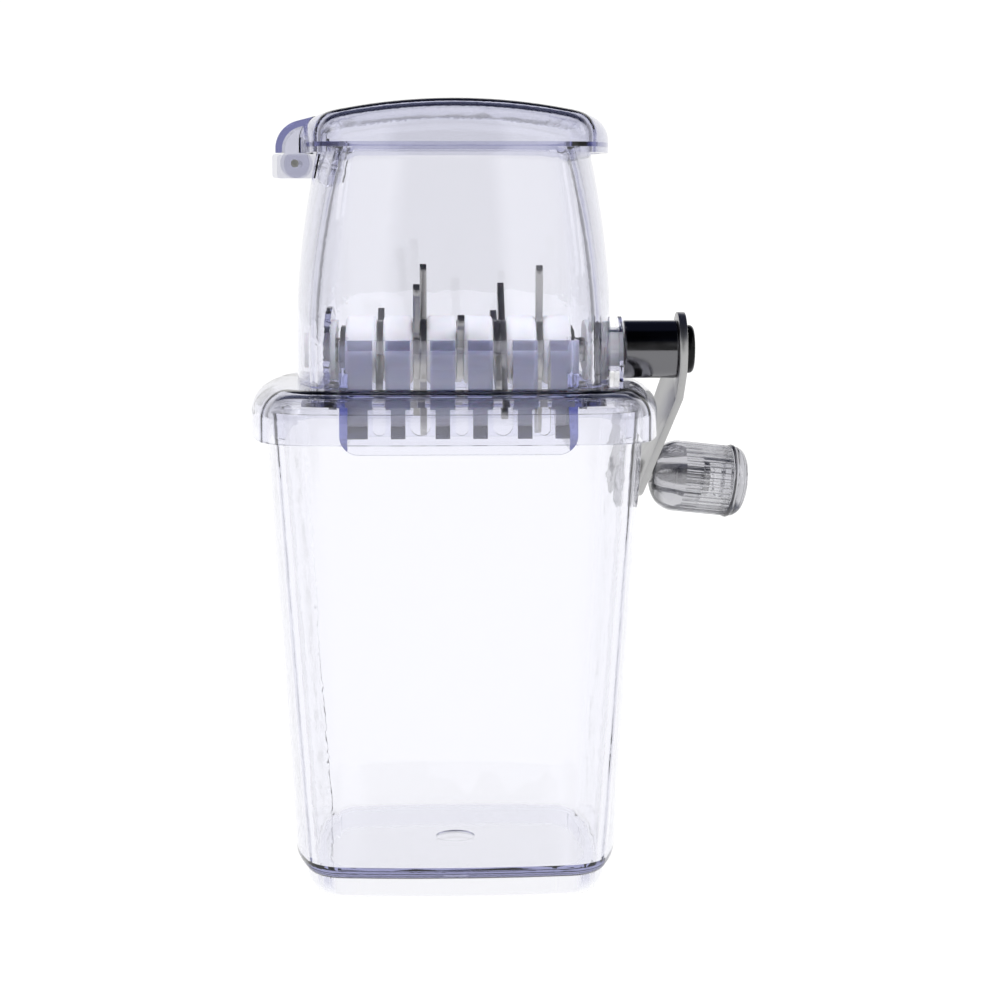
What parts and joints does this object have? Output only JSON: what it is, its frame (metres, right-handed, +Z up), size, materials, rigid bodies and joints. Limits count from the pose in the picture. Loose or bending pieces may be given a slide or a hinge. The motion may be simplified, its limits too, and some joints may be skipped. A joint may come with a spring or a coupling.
{
  "type": "hand-crank ice crusher",
  "caption": "Clear ice crusher: bin, hopper with hinged arched lid and comb, pronged rotor between white spacers, bent side crank with fluted knob.",
  "frame": {"origin": "middle of the base ring's underside, on the table", "axes": "+Z up, +X towards the crank, -Y the front, where the comb's teeth are"},
  "size_m": [0.1677, 0.1126, 0.25],
  "materials": {
    "clear_plastic": "clear, faintly lilac styrene, polished",
    "comb_plastic": "clear styrene, deeper lilac where it is thick",
    "bush_plastic": "pale acetal",
    "spacer_white": "white acetal",
    "prong_steel": "stamped stainless steel",
    "shaft_steel": "turned steel",
    "washer_steel": "plain steel",
    "clip_steel": "dark spring steel",
    "steel_screw": "plated steel",
    "hub_chrome": "mirror chrome",
    "arm_steel": "brushed nickel plate",
    "nut_steel": "dark nickel plate",
    "pin_steel": "turned steel",
    "knob_plastic": "clear fluted styrene"
  },
  "bodies": {
    "bin": {"ice_bin": "clear_plastic"},
    "upper": {"hopper": "clear_plastic", "comb_grate": "comb_plastic", "comb_screws": "steel_screw", "bearing_bush_left": "bush_plastic", "bearing_bush_right": "bush_plastic", "lid_hinge_pin": "pin_steel"},
    "lid": {"lid": "clear_plastic"},
    "rotor": {"rotor_shaft": "shaft_steel", "rotor_spacer_1": "spacer_white", "rotor_spacer_2": "spacer_white", "rotor_spacer_3": "spacer_white", "rotor_spacer_4": "spacer_white", "rotor_spacer_5": "spacer_white", "rotor_spacer_6": "spacer_white", "prong_plate_1": "prong_steel", "prong_plate_2": "prong_steel", "prong_plate_3": "prong_steel", "prong_plate_4": "prong_steel", "prong_plate_5": "prong_steel", "prong_plate_6": "prong_steel", "prong_plate_7": "prong_steel", "end_washer_left": "washer_steel", "end_clip_right": "clip_steel", "hub_sleeve": "hub_chrome", "crank_arm": "arm_steel", "cap_nut": "nut_steel", "knob_pin": "pin_steel"},
    "knob": {"knob": "knob_plastic", "knob_cap": "knob_plastic"}
  },
  "joints": [
    {"name": "lift_off", "type": "slide", "parent": "bin", "child": "upper", "axis": [0, 0, 1], "range_m": [0, 0.06]},
    {"name": "lid_swing", "type": "hinge", "parent": "upper", "child": "lid", "pos_m": [-0.05, 0, 0.2302], "axis": [0, -1, 0], "range_deg": [0, 105]},
    {"name": "crank_turn", "type": "hinge", "parent": "upper", "child": "rotor", "pos_m": [0.0018, 0, 0.1707], "axis": [1, 0, 0], "continuous": true},
    {"name": "knob_spin", "type": "hinge", "parent": "rotor", "child": "knob", "pos_m": [0.0649, 0.04561, 0.12509], "axis": [0.9869, 0.1143, -0.1143], "continuous": true}
  ]
}
